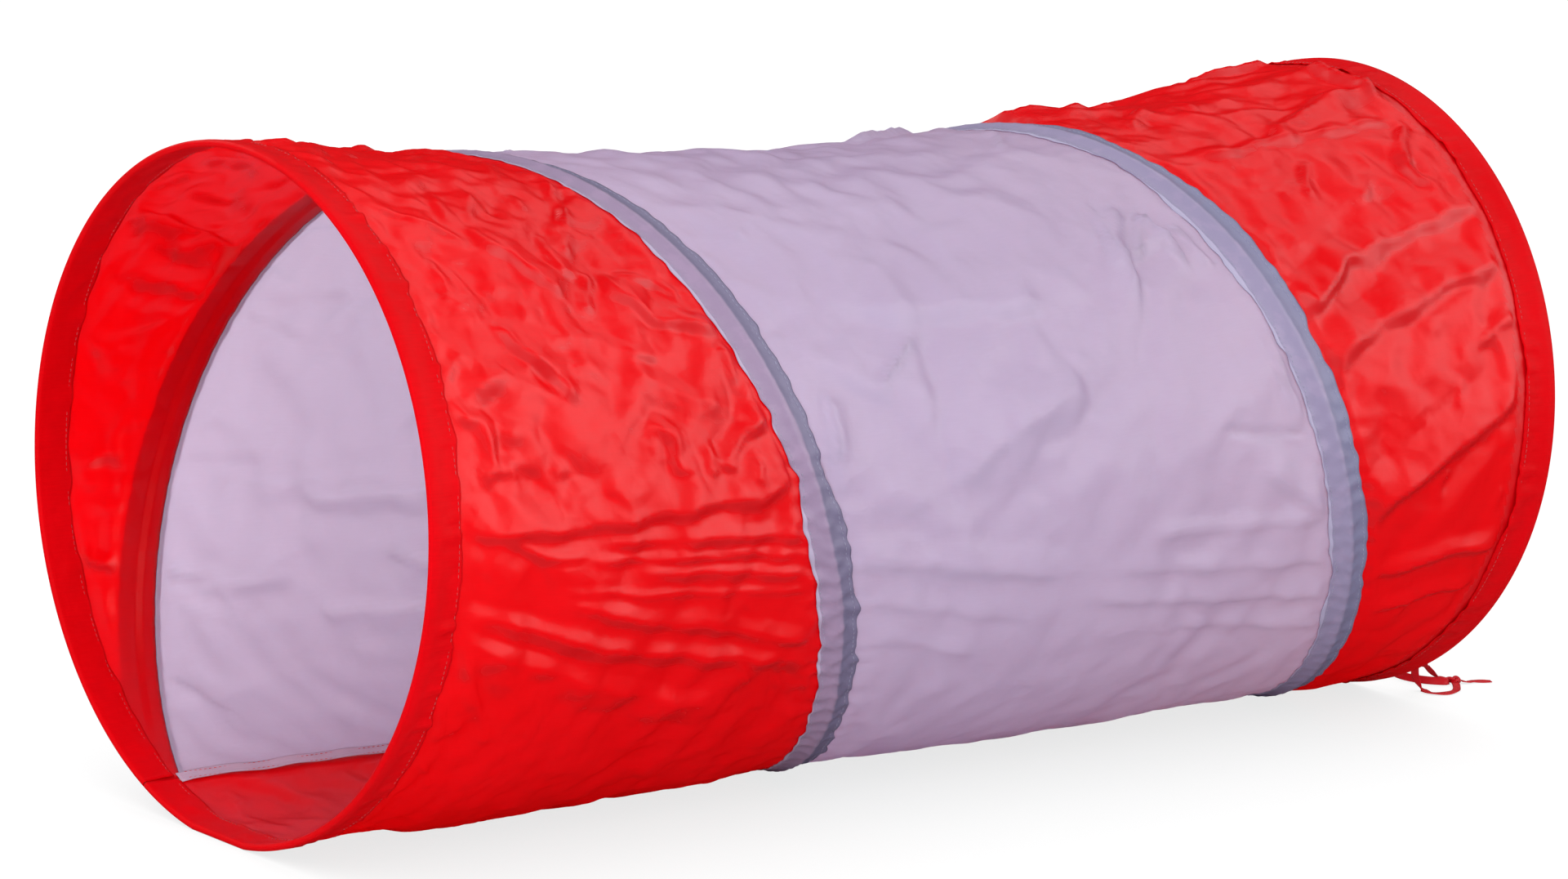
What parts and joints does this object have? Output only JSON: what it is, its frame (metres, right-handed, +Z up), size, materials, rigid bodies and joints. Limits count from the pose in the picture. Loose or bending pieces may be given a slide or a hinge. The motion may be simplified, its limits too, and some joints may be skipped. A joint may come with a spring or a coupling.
{
  "type": "pop-up crawl tunnel",
  "caption": "Pop-up crawl tunnel of thin cloth in three panels on a spring wire coil, open at both ends, with ribbon ties at the rear hem.",
  "frame": {"origin": "on the floor, under the middle of the tube (centre of its footprint)", "axes": "+X along the tube from the front rim (at -X) to the rear rim that carries the ties, +Z up"},
  "size_m": [1.1185, 0.48, 0.4779],
  "materials": {
    "wire": "drawn spring wire",
    "sleeve": "satin",
    "hem": "semi-gloss taffeta, doubled",
    "red_cloth": "semi-gloss taffeta",
    "lavender_cloth": "semi-gloss taffeta",
    "tape": "satin",
    "ribbon": "woven ribbon"
  },
  "bodies": {
    "front_end": {"front_hoop": "wire", "front_sleeve": "sleeve", "front_hem": "hem", "coil_wire": "wire", "front_panel": "red_cloth", "middle_panel": "lavender_cloth", "rear_panel": "red_cloth", "casing_tape_1": "tape", "casing_tape_2": "tape", "casing_tape_3": "tape", "seam_binding": "lavender_cloth"},
    "rear_end": {"rear_hoop": "wire", "rear_sleeve": "sleeve", "rear_hem": "hem", "tie_tab": "ribbon", "tie_strand_long": "ribbon", "tie_strand_short": "ribbon", "tie_knot": "ribbon", "tie_tail_long": "ribbon", "tie_tail_short": "ribbon"}
  },
  "joints": [
    {"name": "collapse", "type": "slide", "parent": "front_end", "child": "rear_end", "axis": [1, 0, 0], "range_m": [-0.96, 0], "stiffness_N_per_m": 3, "springref_m": 0.15, "deforming": ["coil_wire", "front_panel", "middle_panel", "rear_panel", "casing_tape_1", "casing_tape_2", "casing_tape_3", "seam_binding"]}
  ]
}
